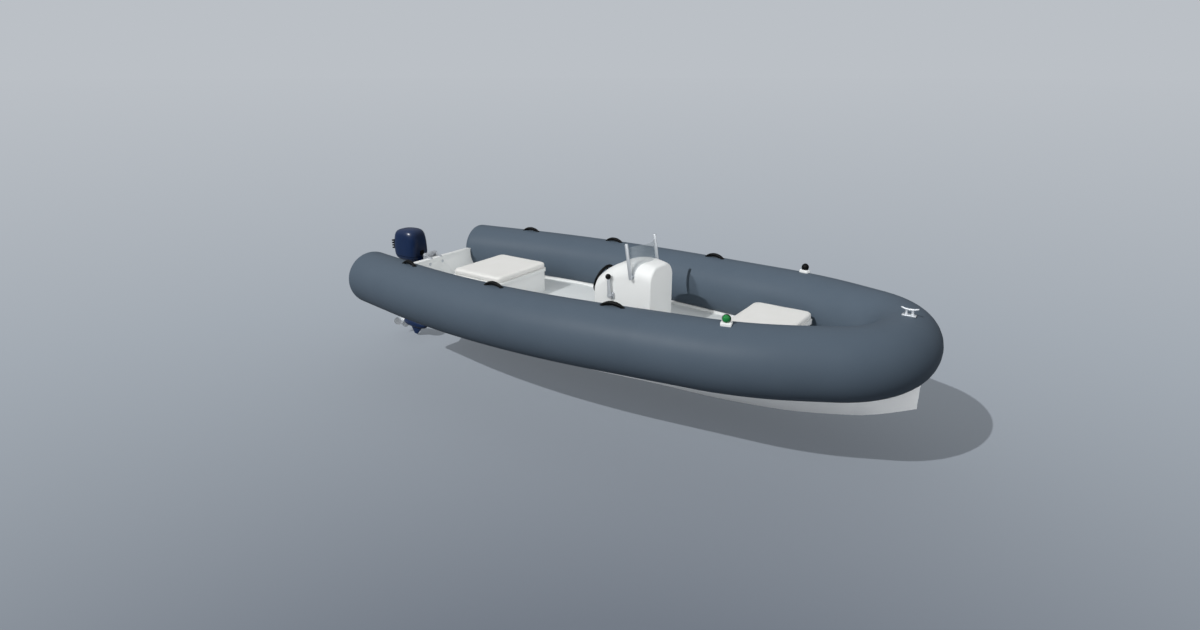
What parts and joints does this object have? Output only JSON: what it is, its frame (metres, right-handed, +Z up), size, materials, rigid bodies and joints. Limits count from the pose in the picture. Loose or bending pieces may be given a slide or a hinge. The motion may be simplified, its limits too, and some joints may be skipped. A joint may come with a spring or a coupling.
{
  "type": "rigid inflatable boat",
  "caption": "Open rigid inflatable boat with a V hull, an air-filled collar, a steering console with a curved windscreen, cushioned locker seats and a long-shaft outboard motor on the transom.",
  "frame": {"origin": "amidships on the centreline at the waterline", "axes": "+X towards the bow, +Y to port, +Z up"},
  "size_m": [5.4659, 2.3039, 1.4548],
  "materials": {
    "tube_fabric": "satin coated fabric",
    "white_gelcoat": "gloss",
    "sole_gelcoat": "matt non-slip",
    "white_vinyl": "soft satin",
    "stainless_steel": "polished",
    "black_plastic": "satin",
    "black_rubber": "matt",
    "cast_aluminium": "satin",
    "clear_screen": "clear",
    "green_lens": "clear gloss",
    "red_lens": "clear gloss",
    "navy_paint": "gloss"
  },
  "bodies": {
    "boat": {"tube_stern_starboard": "tube_fabric", "tube_stern_port": "tube_fabric", "tube_side_starboard": "tube_fabric", "tube_side_port": "tube_fabric", "tube_bow": "tube_fabric", "tube_stern_ends": "tube_fabric", "hull": "white_gelcoat", "transom": "white_gelcoat", "transom_cap": "white_gelcoat", "cockpit_sole": "sole_gelcoat", "sole_edge_strips": "white_gelcoat", "aft_seat_locker": "white_gelcoat", "aft_seat_hinge_pins": "stainless_steel", "bow_seat_locker": "white_gelcoat", "bow_seat_hinge_pins": "stainless_steel", "console": "white_gelcoat", "helm_bezel": "black_plastic", "windscreen_posts": "stainless_steel", "windscreen_pane": "clear_screen", "throttle_base": "cast_aluminium", "throttle_lever": "stainless_steel", "throttle_knob": "black_plastic", "grab_handles_starboard": "black_rubber", "grab_handles_port": "black_rubber", "nav_lens_green": "green_lens", "nav_lens_red": "red_lens", "nav_light_bases": "white_gelcoat", "nav_light_hoods": "black_plastic", "bow_cleat": "stainless_steel", "clamp_brackets": "cast_aluminium", "mounting_bolts": "stainless_steel", "tilt_tube": "stainless_steel"},
    "aft_lid": {"aft_seat_lid": "white_gelcoat", "aft_seat_cushion": "white_vinyl"},
    "bow_lid": {"bow_seat_lid": "white_gelcoat", "bow_seat_cushion": "white_vinyl"},
    "helm": {"steering_wheel": "black_plastic"},
    "tilt_bracket": {"swivel_bracket": "cast_aluminium"},
    "outboard": {"steering_yoke": "navy_paint", "lower_pan": "navy_paint", "cowl": "navy_paint", "powerhead": "cast_aluminium", "air_intake": "black_plastic", "cable_grommet": "black_rubber", "midsection": "navy_paint", "ventilation_plate": "navy_paint", "gearcase": "navy_paint"},
    "screw": {"propeller": "stainless_steel", "propeller_shaft": "stainless_steel"}
  },
  "joints": [
    {"name": "aft_lid_hinge", "type": "hinge", "parent": "boat", "child": "aft_lid", "pos_m": [-1.819, 0, 0.288], "axis": [0, -1, 0], "range_deg": [0, 95]},
    {"name": "bow_lid_hinge", "type": "hinge", "parent": "boat", "child": "bow_lid", "pos_m": [0.913, 0, 0.288], "axis": [0, -1, 0], "range_deg": [0, 95]},
    {"name": "helm_turn", "type": "hinge", "parent": "boat", "child": "helm", "pos_m": [-0.318, 0, 0.448], "axis": [0.9397, 0, -0.342], "range_deg": [-540, 540]},
    {"name": "outboard_tilt", "type": "hinge", "parent": "boat", "child": "tilt_bracket", "pos_m": [-2.488, 0, 0.344], "axis": [0, 1, 0], "range_deg": [0, 65]},
    {"name": "outboard_steer", "type": "hinge", "parent": "tilt_bracket", "child": "outboard", "pos_m": [-2.566, 0, 0.09], "axis": [0, 0, 1], "range_deg": [-38, 38]},
    {"name": "propeller_spin", "type": "hinge", "parent": "outboard", "child": "screw", "pos_m": [-3, 0, -0.487], "axis": [1, 0, 0], "continuous": true}
  ],
  "couplings": [
    {"joint": "helm_turn", "follows": "outboard_steer", "ratio": 14.2}
  ]
}
